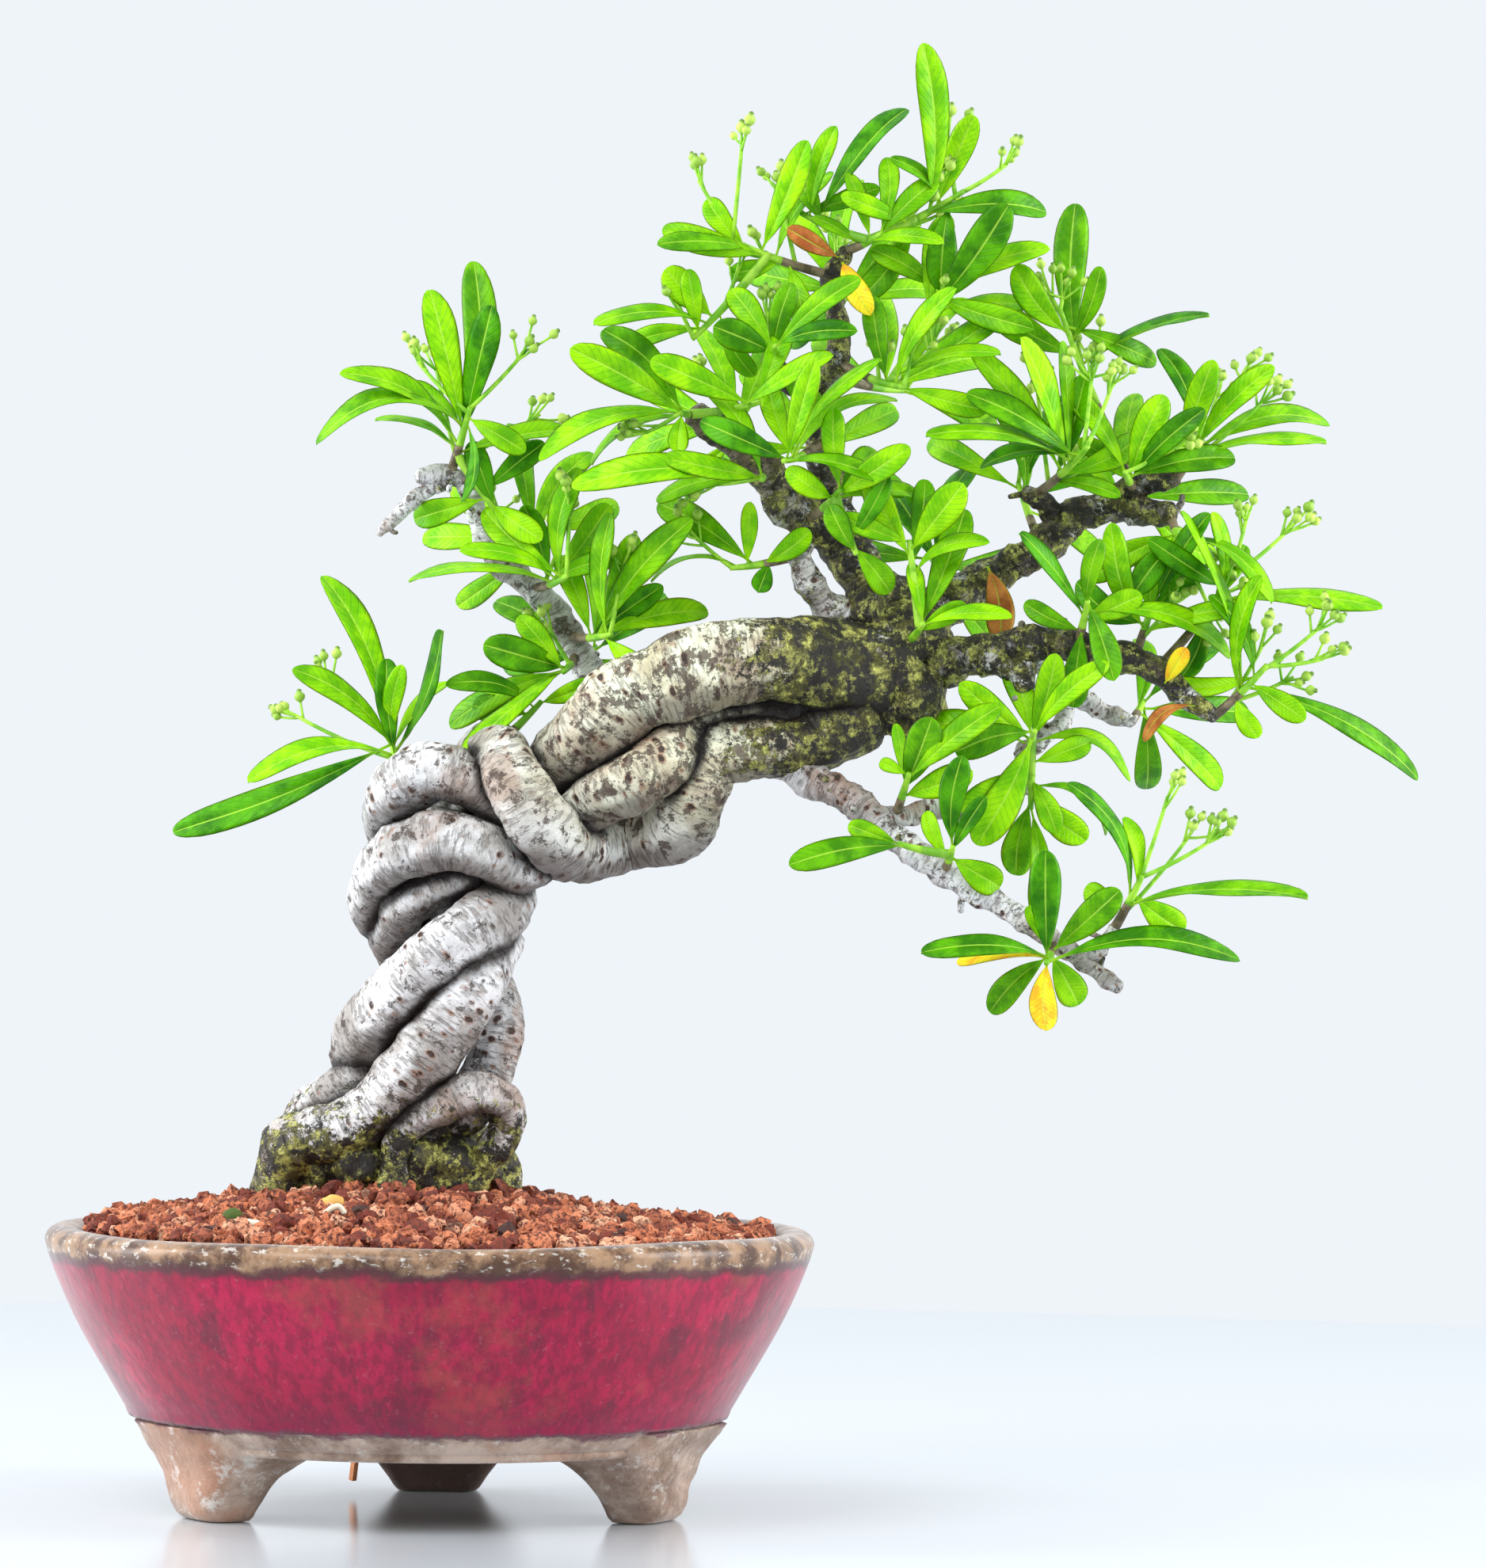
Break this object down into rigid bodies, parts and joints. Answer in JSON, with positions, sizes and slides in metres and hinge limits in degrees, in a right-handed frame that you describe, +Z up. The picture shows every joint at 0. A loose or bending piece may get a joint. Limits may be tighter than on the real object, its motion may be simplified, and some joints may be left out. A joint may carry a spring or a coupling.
{
  "type": "bonsai tree in a pot",
  "caption": "Small firethorn bonsai with twisted pale stems, leafy sprays and bud heads, growing in grainy soil in a round glazed pot on short feet.",
  "frame": {"origin": "middle of the bottom of the whole object's bounding box, on the table", "axes": "+Z up, +X towards the side that the crown leans to, -Y towards the front"},
  "size_m": [0.3038, 0.1712, 0.3257],
  "materials": {
    "glazed_pot": "gloss crimson glaze mottled with dark brown, bare clay feet",
    "screen_plastic": "moulded mesh",
    "wire": "brown anodised wire",
    "soil": "red-brown lava and clay grains",
    "bark": "pale grey bark with dark specks",
    "dark_bark": "mossy brown bark",
    "foliage": "satin green leaves with green bud heads"
  },
  "bodies": {
    "root": {"pot": "glazed_pot", "drainage_screen": "screen_plastic", "screen_clip": "wire", "anchor_wire": "wire", "soil": "soil", "root_flare": "bark", "trunk_stem_1": "bark", "trunk_stem_2": "bark", "trunk_stem_3": "bark", "trunk_stem_4": "bark", "root_loop": "bark", "crown_knob": "dark_bark", "branch_left": "dark_bark", "branch_crown": "dark_bark", "branch_fork": "dark_bark", "leader": "dark_bark", "branch_right_upper": "dark_bark", "branch_right_lower": "dark_bark", "branch_droop": "dark_bark", "branch_under": "dark_bark", "spray_left_top": "foliage", "spray_left_mid": "foliage", "spray_left_inner": "foliage", "spray_left_low": "foliage", "spray_shoulder": "foliage", "spray_shoulder_top": "foliage", "spray_crown_left": "foliage", "spray_crown_low": "foliage", "spray_fork": "foliage", "spray_leader_left": "foliage", "spray_leader_mid": "foliage", "spray_top": "foliage", "spray_upper_right": "foliage", "spray_centre": "foliage", "spray_centre_low": "foliage", "spray_knob": "foliage", "spray_right_tall": "foliage", "spray_right_fan": "foliage", "spray_right_end": "foliage", "spray_far_top": "foliage", "spray_right_under": "foliage", "spray_right_mid": "foliage", "spray_right_mid_upper": "foliage", "spray_far_low": "foliage", "spray_far_upper": "foliage", "spray_hanging": "foliage", "spray_droop_upper": "foliage", "spray_droop_mid": "foliage", "spray_droop_tip": "foliage", "spray_droop_fork": "foliage", "spray_back_left": "foliage", "spray_back_left_low": "foliage", "spray_back_crown": "foliage", "spray_back_leader": "foliage", "spray_back_top": "foliage", "spray_back_upper_right": "foliage", "spray_back_knob": "foliage", "spray_back_right": "foliage", "spray_back_right_end": "foliage", "spray_back_right_low": "foliage"}
  },
  "joints": []
}
